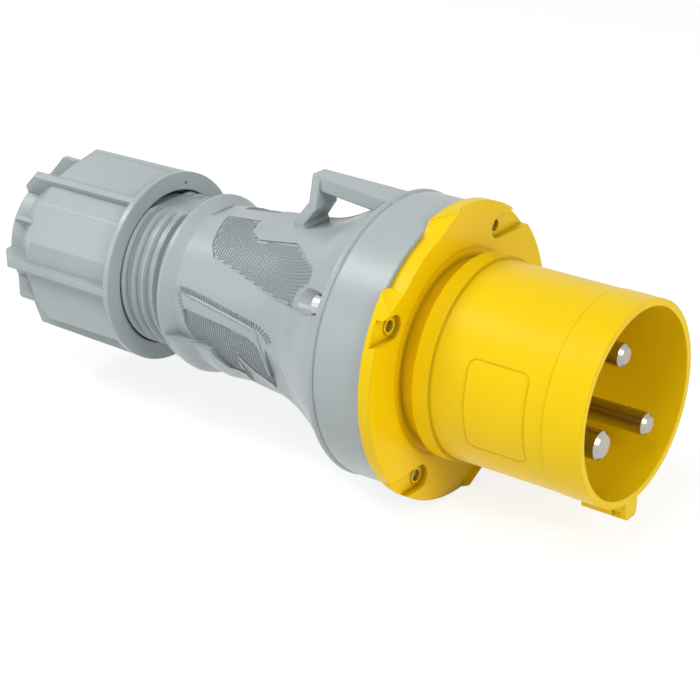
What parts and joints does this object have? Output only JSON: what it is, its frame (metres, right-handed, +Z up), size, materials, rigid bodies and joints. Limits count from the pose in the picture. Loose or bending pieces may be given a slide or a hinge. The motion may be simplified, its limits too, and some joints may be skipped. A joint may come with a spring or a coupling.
{
  "type": "industrial plug",
  "caption": "Round industrial power plug with earth: pins in a keyed shroud, flange with bayonet notches, grip housing with a loop handle and a screw cable gland.",
  "frame": {"origin": "centre of the shroud's front rim, on the plug's axis", "axes": "+X along the axis, out of the mouth of the shroud; +Z up, towards the loop handle; the key is at the bottom; +Y to the left of someone who looks along +X"},
  "size_m": [0.2613, 0.106, 0.106],
  "materials": {
    "yellow_plastic": "moulded, satin gloss",
    "grey_plastic": "moulded, fine satin",
    "nickel": "nickel-plated brass, turned",
    "steel": "zinc-plated screws",
    "black_plastic": "moulded",
    "seal_rubber": "soft, matte"
  },
  "bodies": {
    "plug_body": {"plug_front": "yellow_plastic", "contact_carrier": "yellow_plastic", "housing": "grey_plastic", "line_contact": "nickel", "neutral_contact": "nickel", "earth_contact": "nickel", "line_saddle": "nickel", "neutral_saddle": "nickel", "earth_saddle": "nickel", "line_terminal_screws": "steel", "neutral_terminal_screws": "steel", "earth_terminal_screws": "steel", "contact_retainer": "black_plastic", "retainer_screws": "steel", "housing_screw_1": "steel", "housing_screw_2": "steel", "housing_screw_3": "steel", "housing_screw_4": "steel"},
    "gland_insert": {"pressure_ring": "black_plastic", "clamping_cage": "black_plastic", "gland_seal": "seal_rubber", "seal_insert": "seal_rubber"},
    "nut": {"gland_nut": "grey_plastic"}
  },
  "joints": [
    {"name": "gland_slide", "type": "slide", "parent": "plug_body", "child": "gland_insert", "axis": [1, 0, 0], "range_m": [-0.0049, 0.0193]},
    {"name": "nut_turn", "type": "hinge", "parent": "gland_insert", "child": "nut", "pos_m": [-0.23, 0, 0], "axis": [1, 0, 0], "range_deg": [-360, 1440]}
  ],
  "couplings": [
    {"joint": "gland_slide", "follows": "nut_turn", "m_per_rad": 0.00076394}
  ]
}
